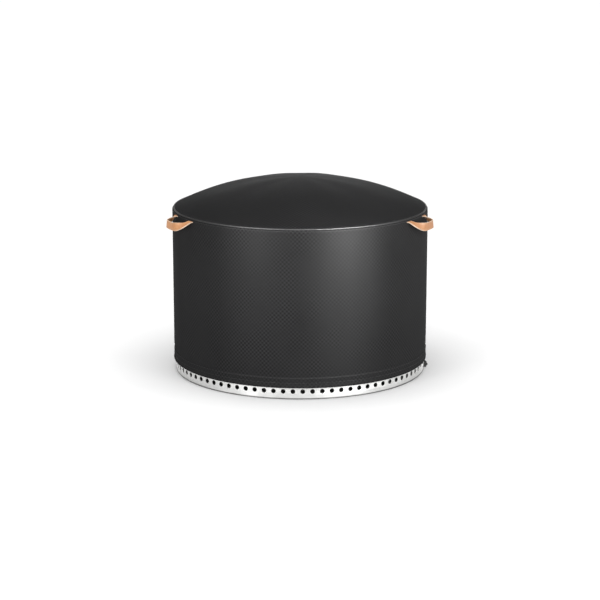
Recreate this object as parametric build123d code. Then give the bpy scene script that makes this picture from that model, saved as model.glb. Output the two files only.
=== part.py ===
"""Domed fabric cover for a round fire pit, seated over the steel pit that carries it.

Millimetres, +Z up. The origin is on the ground under the middle of the pit, and the front faces -Y.
An azimuth is in degrees from +X towards +Y.
"""

import os
from math import asin, atan2, copysign, cos, degrees, pi, radians, sin, sqrt, tan

from build123d import *

# --- Driving dimensions -------------------------------------------------------------------------
PIT_RADIUS = 342.5
PIT_HEIGHT = 448.0
SHEET_STEEL = 1.2
VENTS = 84
VENT_RADIUS = 6.25
VENT_HEIGHT = 21.0
FIRST_VENT = 1.2

COVER_RADIUS = 347.0
FABRIC = 1.2
APEX_HEIGHT = 531.0
DOME_RADIUS = 775.0
SHOULDER_RADIUS = 11.0
HEM_TOP = 60.0
CORD = 3.2
CORD_TRACK = 346.2
CORD_HEIGHT = 33.5
CORD_AZIMUTH = 34.0

HANDLE_AZIMUTH = 26.5
HANDLE_HEIGHT = 442.0
HANDLE_HALF_SPAN = 47.5
HANDLE_REACH = 35.0
HANDLE_DROOP = 23.0
FRONT_LEG = (1.0, 1.2)
REAR_LEG = (2.1, 0.3)
STRAP_WIDTH = 22.0
STRAP = 2.6

# --- Derived places -----------------------------------------------------------------------------
PIT_INSIDE = PIT_RADIUS - SHEET_STEEL
DOME_CENTRE_Z = APEX_HEIGHT - DOME_RADIUS
SHOULDER_R = COVER_RADIUS - SHOULDER_RADIUS
SHOULDER_Z = DOME_CENTRE_Z + sqrt((DOME_RADIUS - SHOULDER_RADIUS) ** 2 - SHOULDER_R**2)
SHOULDER_START = degrees(asin(SHOULDER_R / (DOME_RADIUS - SHOULDER_RADIUS)))
SEWN_GAP = 0.05

parts = {}


def polar(azimuth, radius, height=0.0):
    """A point from its azimuth in degrees, radius and height."""
    return Vector(radius * cos(radians(azimuth)), radius * sin(radians(azimuth)), height)


def turned(outline, angle=360.0, start=0.0):
    """What an outline in the (radius, height) plane sweeps about +Z, from azimuth start through angle."""
    swept = revolve(Plane.XZ * outline, Axis.Z, angle)
    return Rot(0, 0, start) * swept


def slab(r_low, r_high, z_low, z_high):
    """A rectangle in the (radius, height) plane."""
    return Pos((r_low + r_high) / 2, (z_low + z_high) / 2) * Rectangle(r_high - r_low, z_high - z_low)


def shoulder(angle, inset=0.0):
    """A point of the cover's shoulder, angle degrees down from the top, inset below the outer face."""
    radius = SHOULDER_RADIUS - inset
    return (SHOULDER_R + radius * sin(radians(angle)), SHOULDER_Z + radius * cos(radians(angle)))


def dome(angle, inset=0.0):
    """A point of the dome, angle degrees from the apex seen from the dome's centre."""
    radius = DOME_RADIUS - inset
    return (radius * sin(radians(angle)), DOME_CENTRE_Z + radius * cos(radians(angle)))


def arc_of(curve, start, end, inset=0.0):
    """The arc of the shoulder or the dome between two angles."""
    return ThreePointArc(*[curve(angle, inset) for angle in (start, (start + end) / 2, end)])


def ring_of(shape, count, first=0.0):
    """Copies of a shape spaced evenly about +Z."""
    return [Rot(0, 0, first + 360.0 * k / count) * shape for k in range(count)]


# --- Cover: fabric shell ------------------------------------------------------------------------
CROWN_EDGE = 33.0
WALL_EDGE = 57.0
PIPING_ANGLE = (CROWN_EDGE + WALL_EDGE) / 2
PIPING_RADIUS = 2.0
HOOP_RADIUS = 1.2
HEM_SLOT_Z = 44.0
HEM_LAYER = 0.8
TUNNEL_BORE = 1.9
HEM_OUTSIDE = CORD_TRACK + TUNNEL_BORE + HEM_LAYER
HEM_INSIDE = CORD_TRACK - TUNNEL_BORE - HEM_LAYER


def make_crown():
    """The domed top, which turns down to the shoulder seam."""
    outline = make_face(
        [
            arc_of(dome, 0, SHOULDER_START),
            arc_of(shoulder, SHOULDER_START, CROWN_EDGE),
            Line(shoulder(CROWN_EDGE), shoulder(CROWN_EDGE, FABRIC)),
            arc_of(shoulder, CROWN_EDGE, SHOULDER_START, FABRIC),
            arc_of(dome, SHOULDER_START, 0, FABRIC),
            Line(dome(0, FABRIC), dome(0)),
        ]
    )
    parts["crown_panel"] = turned(outline)


def make_walls():
    """Two half-round wall panels, joined at the left and right by a binding sewn inside each seam."""
    inside = COVER_RADIUS - FABRIC
    low = HEM_SLOT_Z + SEWN_GAP
    outline = make_face(
        [
            Line((COVER_RADIUS, low), (COVER_RADIUS, SHOULDER_Z)),
            arc_of(shoulder, 90, WALL_EDGE),
            Line(shoulder(WALL_EDGE), shoulder(WALL_EDGE, FABRIC)),
            arc_of(shoulder, WALL_EDGE, 90, FABRIC),
            Line((inside, SHOULDER_Z), (inside, low)),
            Line((inside, low), (COVER_RADIUS, low)),
        ]
    )
    parts["front_wall_panel"] = turned(outline, 180, 180)
    parts["rear_wall_panel"] = turned(outline, 180, 0)

    binding, half_angle = 0.75, 1.8
    strip = slab(inside - SEWN_GAP - binding, inside - SEWN_GAP, HEM_TOP + 4, SHOULDER_Z - 6)
    parts["right_seam_binding"] = turned(strip, 2 * half_angle, -half_angle)
    parts["left_seam_binding"] = turned(strip, 2 * half_angle, 180 - half_angle)


def make_shoulder_piping():
    """A fabric tube sewn into the shoulder seam, round a spring steel hoop that keeps the top round."""
    place = Pos(*shoulder(PIPING_ANGLE, FABRIC / 2))
    parts["shoulder_piping"] = turned(place * (Circle(PIPING_RADIUS) - Circle(HOOP_RADIUS + SEWN_GAP)))
    parts["rim_hoop"] = turned(place * Circle(HOOP_RADIUS))


def make_hem():
    """The folded hem band, which grips the wall's lower edge and makes the tunnel of the drawcord."""
    slot_inner, slot_outer = COVER_RADIUS - FABRIC - SEWN_GAP, COVER_RADIUS + SEWN_GAP
    inner, outer = slot_inner - HEM_LAYER, slot_outer + HEM_LAYER
    funnel = Polyline(
        (inner, HEM_SLOT_Z),
        (outer, HEM_SLOT_Z),
        (HEM_OUTSIDE, CORD_HEIGHT),
        (HEM_INSIDE, CORD_HEIGHT),
        close=True,
    )
    outline = slab(inner, outer, HEM_SLOT_Z, HEM_TOP) + make_face(funnel)
    outline += Pos(CORD_TRACK, CORD_HEIGHT) * Circle(TUNNEL_BORE + HEM_LAYER)
    outline -= slab(slot_inner, slot_outer, HEM_SLOT_Z, HEM_TOP + 1)
    outline -= Pos(CORD_TRACK, CORD_HEIGHT) * Circle(TUNNEL_BORE)
    exit_depth = 12
    exit_hole = Pos(CORD_TRACK + exit_depth / 2, 0, CORD_HEIGHT) * Box(exit_depth, *CORD_WINDOW)
    parts["hem_band"] = turned(outline) - Rot(0, 0, CORD_AZIMUTH) * exit_hole


# --- Cover: drawcord, its free tails and the cord lock ------------------------------------------
CORD_PITCH = 3.6
CORD_WINDOW = (CORD_PITCH + CORD + 0.8, CORD + 0.5)
DRAWCORD_GAP = 3.7
# The route of the pair of tails, as (azimuth, radius, height, half the distance between the two):
# straight out of the hem and through the lock, down to the ground, forward along the foot of the pit
# and through the knot.
TAIL_ROUTE = [
    (34.0, 346.0, 33.5, 1.8),
    (34.0, 404.0, 33.5, 1.9),
    (29.4, 414.0, 10.0, 2.2),
    (24.4, 391.0, 1.7, 2.4),
    (20.2, 373.0, 1.7, 2.9),
    (15.8, 359.5, 1.7, 2.6),
    (11.4, 351.0, 1.7, 2.1),
    (7.0, 350.0, 1.7, 2.2),
    (2.6, 352.2, 2.3, 1.9),
    (-0.7, 349.0, 3.9, 1.75),
    (-4.2, 346.4, 1.8, 1.9),
]
KNOT_AZIMUTH = -0.5
KNOT_TRACK = 349.3
KNOT_RADIUS = 4.4
LARGEST_TANGENT = 0.45


def beside(route, side):
    """One tail's points: the route moved sideways in plan, mitred, to the left for side 1."""
    points = [polar(azimuth, radius, height) for azimuth, radius, height, _ in route]
    ways = [atan2(b.Y - a.Y, b.X - a.X) for a, b in zip(points, points[1:])]
    moved = []
    for k, point in enumerate(points):
        before, after = ways[max(k - 1, 0)], ways[min(k, len(ways) - 1)]
        half_turn = atan2(sin(after - before), cos(after - before)) / 2
        mitre = before + half_turn
        offset = side * route[k][3] / cos(half_turn)
        moved.append(point + Vector(-sin(mitre), cos(mitre), 0) * offset)
    return moved


def corner_radii(points):
    """For each inner point, the radius whose tangent takes its share of the shorter run beside it."""
    radii = []
    for a, b, c in zip(points, points[1:], points[2:]):
        turn = (b - a).get_angle(c - b)
        radii.append(LARGEST_TANGENT * min((b - a).length, (c - b).length) / tan(radians(turn) / 2))
    return radii


def make_drawcord():
    """The cord round the hem, its two free tails and the knot that ties them together."""
    gap = degrees(DRAWCORD_GAP / CORD_TRACK)
    section = Pos(CORD_TRACK, CORD_HEIGHT) * Circle(CORD / 2)
    parts["drawcord"] = turned(section, 360 - 2 * gap, CORD_AZIMUTH + gap)

    knot = Pos(*polar(KNOT_AZIMUTH, KNOT_TRACK, KNOT_RADIUS)) * Sphere(KNOT_RADIUS)
    for name, side in (("drawcord_tail_inner", -1), ("drawcord_tail_outer", 1)):
        points = beside(TAIL_ROUTE, side)
        radii = corner_radii(points)
        path = FilletPolyline(*points, radius=radii)
        tube = sweep(Plane(origin=path @ 0, z_dir=path % 0) * Circle(CORD / 2), path=path)
        ratio = tube.volume / (pi * (CORD / 2) ** 2 * path.length)
        print(name, "radii", [round(r, 1) for r in radii])
        print(name, "length", round(path.length, 1), "volume over section times length", round(ratio, 4))
        parts[name] = tube
        knot -= tube
    parts["drawcord_knot"] = knot

    width, height = CORD_WINDOW
    plate, border = 1.0, 2.4
    grommet = Box(plate, width + 2 * border, height + 2 * border) - Box(3 * plate, width, height)
    place = Rot(0, 0, CORD_AZIMUTH) * Pos(HEM_OUTSIDE + SEWN_GAP + plate / 2, 0, CORD_HEIGHT)
    parts["cord_exit_grommet"] = place * grommet


LOCK_RADIUS = 7.5
LOCK_R = HEM_OUTSIDE + 1.5 + LOCK_RADIUS
LOCK_BORE = 5.6
LOCK_LOW = CORD_HEIGHT - 15.0
LOCK_HIGH = CORD_HEIGHT + 9.0
LOCK_FLOOR = CORD_HEIGHT - 13.0
PLUNGER_RADIUS = 5.4
PLUNGER_LOW = CORD_HEIGHT - 4.0
PLUNGER_HIGH = CORD_HEIGHT + 14.5
PLUNGER_TRAVEL = 3.8


def make_cord_lock():
    """A spring cord lock: a cup, a plunger with a window that the cords pass, and the spring under it."""
    width, height = CORD_WINDOW
    place = Rot(0, 0, CORD_AZIMUTH) * Pos(LOCK_R, 0, 0)

    cup = Pos(0, 0, (LOCK_LOW + LOCK_HIGH) / 2) * Cylinder(LOCK_RADIUS, LOCK_HIGH - LOCK_LOW)
    cup = fillet(cup.edges().filter_by(GeomType.CIRCLE), 1.2)
    cup -= Pos(0, 0, (LOCK_FLOOR + LOCK_HIGH + 2) / 2) * Cylinder(LOCK_BORE, LOCK_HIGH + 2 - LOCK_FLOOR)
    cup -= Pos(0, 0, CORD_HEIGHT) * Box(4 * LOCK_RADIUS, width, height)
    parts["cord_lock_body"] = place * cup

    middle, length = (PLUNGER_LOW + PLUNGER_HIGH) / 2, PLUNGER_HIGH - PLUNGER_LOW
    plunger = Pos(0, 0, middle) * Cylinder(PLUNGER_RADIUS, length)
    plunger = fillet(plunger.edges().group_by(Axis.Z)[-1], 1.5)
    window = Box(4 * LOCK_RADIUS, width, height + PLUNGER_TRAVEL)
    plunger -= Pos(0, 0, CORD_HEIGHT + PLUNGER_TRAVEL / 2) * window
    parts["cord_lock_plunger"] = place * plunger

    wire, coil, turns = 0.45, 3.8, 4
    rise = PLUNGER_LOW - LOCK_FLOOR - 2 * (wire + SEWN_GAP)
    helix = Helix(pitch=rise / turns, height=rise, radius=coil)
    section = Plane(origin=helix @ 0, z_dir=helix % 0) * Circle(wire)
    spring = sweep(section, path=helix, is_frenet=True)
    parts["cord_lock_spring"] = place * Pos(0, 0, LOCK_FLOOR + wire + SEWN_GAP) * spring


# --- Cover: handles -----------------------------------------------------------------------------
HINGE_N = COVER_RADIUS + 0.6
TAB_N = COVER_RADIUS - 1.0
STRAP_SECTIONS = 13
SQUARENESS = 3.0


def leg_powers(angle, front_first):
    """How steeply the strap falls from the seam and how soon it stands upright, on the leg at an angle."""
    return FRONT_LEG if (angle < 90) == front_first else REAR_LEG


def strap_centre(angle, front_first):
    """A point of the strap's middle line, a superellipse that droops outwards, at 0 to 180 degrees."""
    along, out = cos(radians(angle)), sin(radians(angle))
    along = copysign(abs(along) ** (2 / SQUARENESS), along)
    out = abs(out) ** (2 / SQUARENESS)
    fall_power, _ = leg_powers(angle, front_first)
    fall = tan(radians(HANDLE_DROOP)) * (1 - (1 - out) ** fall_power)
    return Vector(HANDLE_HALF_SPAN * along, HANDLE_REACH * out, -HANDLE_REACH * fall)


def strap_section(angle, front_first):
    """The plane across the strap at an angle: X is its width, Y its thickness.

    The strap leaves the seam lying flat and twists until it stands upright in the middle.
    """
    before, after = (strap_centre(a, front_first) for a in (max(angle - 1, 0), min(angle + 1, 180)))
    way = (after - before).normalized()
    inwards = Vector(-way.Y, way.X, 0).normalized()
    _, twist_power = leg_powers(angle, front_first)
    twist = sin(radians(angle)) ** twist_power * pi / 2
    width = inwards * cos(twist) + Vector(0, 0, 1) * sin(twist)
    width = (width - way * width.dot(way)).normalized()
    return Plane(origin=strap_centre(angle, front_first), x_dir=width, z_dir=way)


def make_handles():
    """A twisted strap on each side, the sewn-in tabs that it swings on and the patch behind them."""
    band = RectangleRounded(STRAP_WIDTH, STRAP, STRAP * 0.3)
    angles = [180.0 * k / (STRAP_SECTIONS - 1) for k in range(STRAP_SECTIONS)]

    tab_length, tab_height = 20.0, STRAP + 0.4
    tabs = []
    for end in (-1, 1):
        place = Pos(end * HANDLE_HALF_SPAN, TAB_N - tab_length / 2, HANDLE_HEIGHT)
        tab = place * Box(STRAP_WIDTH, tab_length, tab_height)
        tabs.append(tab - Cylinder(COVER_RADIUS + SEWN_GAP, 3 * HANDLE_HEIGHT))

    inside, half_angle = COVER_RADIUS - FABRIC - SEWN_GAP, 12.0
    backing = slab(inside - 1.0, inside, HANDLE_HEIGHT - 26, SHOULDER_Z - 1)
    for side, facing in (("right", -HANDLE_AZIMUTH), ("left", 180 + HANDLE_AZIMUTH)):
        # The handle's own frame has +Y outwards.
        turn = Rot(0, 0, facing - 90)
        strap = loft([strap_section(angle, side == "right") * band for angle in angles])
        parts[f"{side}_handle_strap"] = turn * Pos(0, HINGE_N, HANDLE_HEIGHT) * strap
        parts[f"{side}_handle_tabs"] = Compound([turn * tab for tab in tabs])
        parts[f"{side}_handle_backing"] = turned(backing, 2 * half_angle, facing - half_angle)


# --- Cover: stays that hold the dome up ---------------------------------------------------------
STAYS = 8
FIRST_STAY = 22.5
STAY_RADIUS = 2.5
HUB_RADIUS = 38.0
UNDER_CROWN = FABRIC + 0.3


def make_stays():
    """Spring stays that bow from a hub under the apex to pockets at the shoulder."""
    wall, gap = 0.8, 0.35
    depth = UNDER_CROWN + wall + gap + STAY_RADIUS
    first, last = degrees(HUB_RADIUS * 0.55 / DOME_RADIUS), SHOULDER_START - 0.9
    bow = Plane.XZ * arc_of(dome, first, last, depth)
    rod = sweep(Plane(origin=bow @ 0, z_dir=bow % 0) * Circle(STAY_RADIUS), path=bow)
    stays = ring_of(rod, STAYS, FIRST_STAY)
    parts["dome_stays"] = Compound(stays)

    top, low = dome(0, UNDER_CROWN)[1] - 1.0, dome(0, depth + STAY_RADIUS)[1] - 3.5
    hub = turned(slab(0, HUB_RADIUS, low, top))
    parts["stay_hub"] = fillet(hub.edges().group_by(Axis.Z)[0], 2.0) - stays

    # Each pocket is a sleeve round the outer end of its stay.
    sleeve_length, sleeve_angle = 34.0, last - 1.6
    place = Plane.XZ * Pos(*dome(sleeve_angle, depth)) * Rot(0, 0, -sleeve_angle)
    bore = 2 * (STAY_RADIUS + gap)
    sleeve = Box(sleeve_length, bore + 2 * wall, bore + 2 * wall) - Box(2 * sleeve_length, bore, bore)
    parts["stay_pockets"] = Compound(ring_of(place * sleeve, STAYS, FIRST_STAY))


# --- Pit ----------------------------------------------------------------------------------------
CHAMBER_RADIUS = 300.0
CHAMBER_LOW = 92.0
SHELF_Z = 96.0
SHELF_BORE = 252.0
MOUTH_RADIUS = 272.0
WALL_TOP = PIT_HEIGHT - 8


def make_pit_shells():
    """The outer wall with its vented foot, the base plate, the inner wall and the brackets between."""
    foot, drill_length = 14.0, 20.0
    wall = slab(PIT_INSIDE, PIT_RADIUS, 0, WALL_TOP) + slab(PIT_RADIUS - foot, PIT_RADIUS, 0, SHEET_STEEL)
    drill = Pos(PIT_RADIUS, 0, VENT_HEIGHT) * Rot(0, 90, 0) * Cylinder(VENT_RADIUS, drill_length)
    parts["outer_wall"] = turned(wall) - ring_of(drill, VENTS, FIRST_VENT)

    plate_low = SHEET_STEEL + SEWN_GAP
    parts["base_plate"] = turned(slab(0, PIT_INSIDE - SEWN_GAP, plate_low, plate_low + SHEET_STEEL))

    jets, jet_radius, jet_height = 60, 4.5, PIT_HEIGHT - 44
    chamber = turned(slab(CHAMBER_RADIUS, CHAMBER_RADIUS + SHEET_STEEL, CHAMBER_LOW, WALL_TOP))
    drill = Pos(CHAMBER_RADIUS, 0, jet_height) * Rot(0, 90, 0) * Cylinder(jet_radius, drill_length)
    parts["inner_wall"] = chamber - ring_of(drill, jets)

    # The brackets' ends are flat, so they stop short of the round walls.
    clearance, bracket_width, brackets = 0.3, 20.0, 8
    low, high = CHAMBER_RADIUS + SHEET_STEEL + clearance, PIT_INSIDE - clearance
    bracket = Pos((low + high) / 2, 0, CHAMBER_LOW + 20) * Box(high - low, bracket_width, SHEET_STEEL)
    parts["wall_brackets"] = Compound(ring_of(bracket, brackets, 22.5))


def make_flame_ring():
    """The rolled top ring that joins both walls and narrows the mouth."""
    t = 1.5
    high, lip = PIT_HEIGHT, WALL_TOP + SEWN_GAP
    ring = make_face(
        Polyline(
            (PIT_RADIUS, lip),
            (PIT_RADIUS, high - 1.5),
            (PIT_RADIUS - 1.5, high),
            (CHAMBER_RADIUS, high - 2),
            (MOUTH_RADIUS + 2, high - 8),
            (MOUTH_RADIUS, high - 11),
            (MOUTH_RADIUS, high - 26),
            (MOUTH_RADIUS + t, high - 26),
            (MOUTH_RADIUS + t, high - 11.5),
            (MOUTH_RADIUS + 3, high - 9.5),
            (CHAMBER_RADIUS, high - 2 - t),
            (PIT_RADIUS - 2, high - t),
            (PIT_RADIUS - t, high - 2),
            (PIT_RADIUS - t, lip),
            close=True,
        )
    )
    parts["flame_ring"] = turned(ring)


def make_fire_bed():
    """The shelf in the chamber, the grate that lies on it and the ash pan below."""
    shelf_top = SHELF_Z + SHEET_STEEL
    shelf = slab(SHELF_BORE, CHAMBER_RADIUS - SEWN_GAP, SHELF_Z, shelf_top)
    parts["grate_shelf"] = turned(shelf)

    grate_radius, thickness, low, air_hole, spacing = 266.0, 2.5, shelf_top + 0.1, 7.0, 45.0
    drill = Pos(0, 0, low) * Cylinder(air_hole, 10 * thickness)
    holes = [drill]
    for ring in range(1, 6):
        holes += ring_of(Pos(spacing * ring, 0, 0) * drill, 7 * ring)
    parts["fire_grate"] = turned(slab(0, grate_radius, low, low + thickness)) - holes

    radius, low, high, rim = 244.0, 2 * SHEET_STEEL + 0.2, 58.0, 6.0
    pan = slab(0, radius, low, high) - slab(0, radius - SHEET_STEEL, low + SHEET_STEEL, high + 1)
    pan += slab(radius - rim, radius, high - SHEET_STEEL, high)
    parts["ash_pan"] = turned(pan)


def main():
    for make in (
        make_crown,
        make_walls,
        make_shoulder_piping,
        make_hem,
        make_drawcord,
        make_cord_lock,
        make_handles,
        make_stays,
        make_pit_shells,
        make_flame_ring,
        make_fire_bed,
    ):
        make()
    os.makedirs("parts", exist_ok=True)
    for name, shape in parts.items():
        export_step(shape, f"parts/{name}.step")
        print(name, "written")


main()
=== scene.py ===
"""Looks of a domed fabric cover on a round fire pit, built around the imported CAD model.

Metres, +Z up, in the CAD frame: the origin is on the ground under the middle of the pit and the
front faces -Y. An azimuth is in degrees from +X towards +Y.
"""

from math import asin, atan2, copysign, cos, degrees, hypot, pi, radians, sin, sqrt, tan

import bpy
from mathutils import Matrix, Vector


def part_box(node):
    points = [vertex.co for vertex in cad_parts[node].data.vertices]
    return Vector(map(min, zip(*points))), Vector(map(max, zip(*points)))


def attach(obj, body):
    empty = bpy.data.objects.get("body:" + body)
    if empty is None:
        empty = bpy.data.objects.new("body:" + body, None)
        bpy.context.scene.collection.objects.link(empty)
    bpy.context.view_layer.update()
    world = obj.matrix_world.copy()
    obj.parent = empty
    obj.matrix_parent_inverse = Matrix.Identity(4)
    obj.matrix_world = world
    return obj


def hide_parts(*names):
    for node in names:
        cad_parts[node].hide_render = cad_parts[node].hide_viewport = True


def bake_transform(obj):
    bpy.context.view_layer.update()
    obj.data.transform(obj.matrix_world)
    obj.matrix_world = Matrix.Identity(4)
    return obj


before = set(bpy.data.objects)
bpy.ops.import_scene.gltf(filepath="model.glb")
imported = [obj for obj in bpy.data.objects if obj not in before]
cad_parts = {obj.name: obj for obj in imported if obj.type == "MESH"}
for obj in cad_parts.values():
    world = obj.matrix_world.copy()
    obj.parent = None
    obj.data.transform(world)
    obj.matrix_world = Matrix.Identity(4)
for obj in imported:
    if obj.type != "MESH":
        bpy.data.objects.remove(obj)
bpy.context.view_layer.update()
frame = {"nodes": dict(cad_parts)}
MM = 0.001

# --- Driving dimensions, as the CAD has them ----------------------------------------------------
COVER_RADIUS = 0.347
FABRIC = 0.0012
APEX_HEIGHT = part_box("crown_panel")[1][2]
DOME_RADIUS = 0.775
SHOULDER_RADIUS = 0.011
CROWN_EDGE = 33.0
WALL_EDGE = 57.0
HEM_SLOT_Z = 0.044
HEM_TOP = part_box("hem_band")[1][2]
CORD_RADIUS = 0.0016
CORD_TRACK = 0.3462
CORD_HEIGHT = 0.0335
CORD_AZIMUTH = 34.0
CORD_WINDOW = (0.0076, 0.0037)
HANDLE_AZIMUTH = 26.5
HANDLE_HEIGHT = 0.442
HANDLE_HALF_SPAN = 0.0475
HANDLE_REACH = 0.035
HANDLE_DROOP = 23.0
FRONT_LEG = (1.0, 1.2)
REAR_LEG = (2.1, 0.3)
HINGE_OUT = COVER_RADIUS + 0.0006
SQUARENESS = 3.0
STRAP_WIDTH = 0.022
STRAP = 0.0026
STAYS = 8
FIRST_STAY = 22.5
LENS = 110.97
CAMERA_AT = (0, -4.969, 1.350)
CAMERA_TILT = 76.81

# --- Derived places -----------------------------------------------------------------------------
DOME_CENTRE_Z = APEX_HEIGHT - DOME_RADIUS
SHOULDER_R = COVER_RADIUS - SHOULDER_RADIUS
SHOULDER_Z = DOME_CENTRE_Z + sqrt((DOME_RADIUS - SHOULDER_RADIUS) ** 2 - SHOULDER_R**2)
SHOULDER_START = degrees(asin(SHOULDER_R / (DOME_RADIUS - SHOULDER_RADIUS)))
PIPING_ANGLE = (CROWN_EDGE + WALL_EDGE) / 2
PIPING_RADIUS = 0.0020
WALL_COLUMNS = 300


def polar(azimuth, radius, height=0.0):
    """A point from its azimuth in degrees, radius and height."""
    return Vector((radius * cos(radians(azimuth)), radius * sin(radians(azimuth)), height))


def shoulder(angle, out=0.0):
    """(radius, height) on the shoulder, angle degrees down from its top, out beyond the outer face."""
    radius = SHOULDER_RADIUS + out
    return SHOULDER_R + radius * sin(radians(angle)), SHOULDER_Z + radius * cos(radians(angle))


def dome(angle, out=0.0):
    """(radius, height) on the dome, angle degrees from the apex."""
    radius = DOME_RADIUS + out
    return radius * sin(radians(angle)), DOME_CENTRE_Z + radius * cos(radians(angle))


def smooth(x):
    """A step from 0 to 1 with soft ends."""
    x = min(max(x, 0.0), 1.0)
    return x * x * (3 - 2 * x)


# --- Camera -------------------------------------------------------------------------------------
def make_camera():
    data = bpy.data.cameras.new("camera")
    data.lens = LENS
    data.sensor_width = 36.0
    data.clip_end = 100.0
    camera = bpy.data.objects.new("camera", data)
    camera.location = CAMERA_AT
    camera.rotation_euler = (radians(CAMERA_TILT), 0, 0)
    bpy.context.collection.objects.link(camera)
    bpy.context.scene.camera = camera


make_camera()


# --- Node helpers -------------------------------------------------------------------------------
class Nodes:
    """A material's node tree, with one short call for each kind of node."""

    def __init__(self, name):
        self.material = bpy.data.materials.new(name)
        self.material.use_nodes = True
        self.tree = self.material.node_tree
        self.shader = self.tree.nodes["Principled BSDF"]

    def add(self, kind, inputs=(), **settings):
        node = self.tree.nodes.new(kind)
        for key, value in settings.items():
            setattr(node, key, value)
        for key, value in dict(inputs).items():
            self.set(node.inputs[key], value)
        return node

    def set(self, socket, value):
        """Links an output socket, or writes a constant."""
        if isinstance(value, bpy.types.NodeSocket):
            self.tree.links.new(value, socket)
        else:
            socket.default_value = value

    def math(self, operation, *values):
        node = self.add("ShaderNodeMath", operation=operation)
        for k, value in enumerate(values):
            self.set(node.inputs[k], value)
        return node.outputs[0]

    def place(self, source, scale=(1, 1, 1)):
        """Texture coordinates ("UV" or "Object"), each axis multiplied by scale."""
        coordinates = self.add("ShaderNodeTexCoord").outputs[source]
        return self.add("ShaderNodeMapping", {"Vector": coordinates, "Scale": scale}).outputs[0]

    def noise(self, vector, scale, detail=2.0, rough=0.5):
        inputs = {"Vector": vector, "Scale": scale, "Detail": detail, "Roughness": rough}
        return self.add("ShaderNodeTexNoise", inputs).outputs["Fac"]

    def axes(self, vector):
        return self.add("ShaderNodeSeparateXYZ", {"Vector": vector}).outputs

    def wave(self, coordinate, period):
        """A sine along a coordinate, from -1 to 1."""
        return self.math("SINE", self.math("MULTIPLY", coordinate, 2 * pi / period))

    def ramp(self, value, *stops):
        """Colours along a value, as (position, (r, g, b))."""
        node = self.add("ShaderNodeValToRGB", {"Fac": value})
        elements = node.color_ramp.elements
        while len(elements) < len(stops):
            elements.new(1.0)
        for element, (position, colour) in zip(elements, stops):
            element.position = position
            element.color = (*colour, 1.0)
        return node.outputs[0]

    def span(self, value, low, high, to_low, to_high):
        """The value's range low to high made into to_low to to_high."""
        inputs = {"Value": value, "From Min": low, "From Max": high, "To Min": to_low, "To Max": to_high}
        return self.add("ShaderNodeMapRange", inputs).outputs[0]

    def bump(self, height, distance, strength):
        inputs = {"Height": height, "Distance": distance, "Strength": strength}
        return self.add("ShaderNodeBump", inputs).outputs[0]

    def outline(self):
        """0 where the surface faces the eye, rising to 1 where it turns away."""
        return self.add("ShaderNodeLayerWeight", {"Blend": 0.5}).outputs["Facing"]

    def finish(self, **sockets):
        """Writes the shader's sockets, with _ for a space in their names, and returns the material."""
        for key, value in sockets.items():
            self.set(self.shader.inputs[key.replace("_", " ")], value)
        return self.material


def weave(n, uv, pitch):
    """The height of a plain weave with that yarn pitch, from -1 to 1."""
    u, v, _ = n.axes(uv)
    return n.math("MULTIPLY", n.wave(u, 2 * pitch), n.wave(v, 2 * pitch))


def cloth_material(
    name, dark, light, pitch=1.3 * MM, coarse=5.4 * MM, rough=0.60, specular=0.06, fade=0.0
):
    """Coated polyester cloth: a plain weave, a faint coarser grid of heavier yarns and slow mottling.

    fade is how much rougher the cloth gets where it turns away from the eye.
    """
    n = Nodes(name)
    uv = n.place("UV")
    fine = weave(n, uv, pitch)
    heavy = weave(n, uv, coarse)
    patches = n.noise(uv, 16.0, 2.0)
    slubs = n.noise(n.place("UV", (40, 420, 1)), 1.0, 2.0)
    mottle = n.noise(uv, 7.0, 3.0)
    grid = n.math("MULTIPLY", heavy, n.span(patches, 0.35, 0.65, 0.10, 0.65))
    tone = n.math("ADD", n.math("MULTIPLY", fine, 0.10), grid)
    tone = n.math("ADD", tone, n.span(slubs, 0.3, 0.7, -0.06, 0.06))
    tone = n.math("ADD", tone, n.span(mottle, 0.3, 0.7, 0.42, 0.58))
    colour = n.ramp(tone, (0.0, dark), (1.0, light))
    height = n.math("ADD", fine, n.math("MULTIPLY", heavy, 0.5))
    roughness = n.span(mottle, 0.3, 0.7, rough - 0.03, rough + 0.03)
    if fade:
        roughness = n.math("ADD", roughness, n.span(n.outline(), 0.35, 0.70, 0.0, fade))
    return n.finish(
        Base_Color=colour,
        Roughness=roughness,
        Normal=n.bump(height, 0.10 * MM, 0.4),
        Specular_IOR_Level=specular,
    )


def braid_material(name, dark, light, strands=8, lay=3.2 * MM):
    """Braided cord: UV is round the cord from 0 to 1, and along it in metres."""
    n = Nodes(name)
    u, v, _ = n.axes(n.place("UV"))
    round_cord = n.math("MULTIPLY", u, 2 * pi * strands)
    along = n.math("MULTIPLY", v, 2 * pi / lay)
    right = n.math("SINE", n.math("ADD", round_cord, along))
    left = n.math("SINE", n.math("SUBTRACT", round_cord, along))
    diamonds = n.math("MULTIPLY", right, left)
    fibres = n.noise(n.place("UV", (30, 2600, 1)), 1.0, 2.0)
    tone = n.math("ADD", n.span(diamonds, -1, 1, 0.15, 0.75), n.span(fibres, 0.3, 0.7, -0.15, 0.15))
    return n.finish(
        Base_Color=n.ramp(tone, (0.0, dark), (1.0, light)),
        Roughness=0.68,
        Normal=n.bump(n.math("ADD", diamonds, n.math("MULTIPLY", fibres, 0.5)), 0.2 * MM, 0.7),
        Specular_IOR_Level=0.3,
    )


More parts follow.
